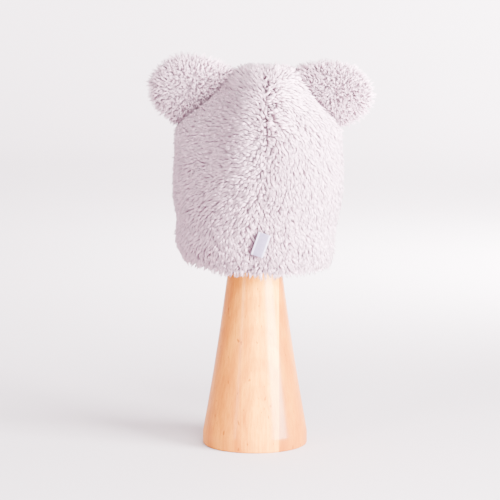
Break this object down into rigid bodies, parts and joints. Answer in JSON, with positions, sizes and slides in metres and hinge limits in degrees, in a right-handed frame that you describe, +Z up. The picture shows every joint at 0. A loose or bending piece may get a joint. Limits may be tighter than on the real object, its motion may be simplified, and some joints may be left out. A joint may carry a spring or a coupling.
{
  "type": "baby hat with ears on a wooden stand",
  "caption": "Baby's plush hat with two padded bear ears, a centre back seam and a small blank seam tag, held by a plain turned wooden cone stand.",
  "frame": {"origin": "centre of the stand's foot, on the surface it stands on", "axes": "+Z up; -Y is the back of the hat, with its centre seam and tag; +Y is the front, over the wearer's face; +X is the wearer's right"},
  "size_m": [0.2129, 0.1784, 0.3721],
  "materials": {
    "plush": "deep clumped plush pile on a knitted backing, matt with a soft sheen",
    "ear_plush": "shorter, denser plush pile, matt",
    "backing": "plain fine knitted back of the plush, matt",
    "ribbon": "woven satin ribbon, slight sheen, blank",
    "wood": "pale turned hardwood, fine upright grain, satin clear lacquer",
    "plain_wood": "pale turned wood, sanded"
  },
  "bodies": {
    "root": {"stand_cone": "wood", "stand_ball": "plain_wood", "back_left_panel": "plush", "back_right_panel": "plush", "front_panel": "plush", "seam_label": "ribbon", "ear_left": "ear_plush", "ear_right": "ear_plush"}
  },
  "joints": []
}
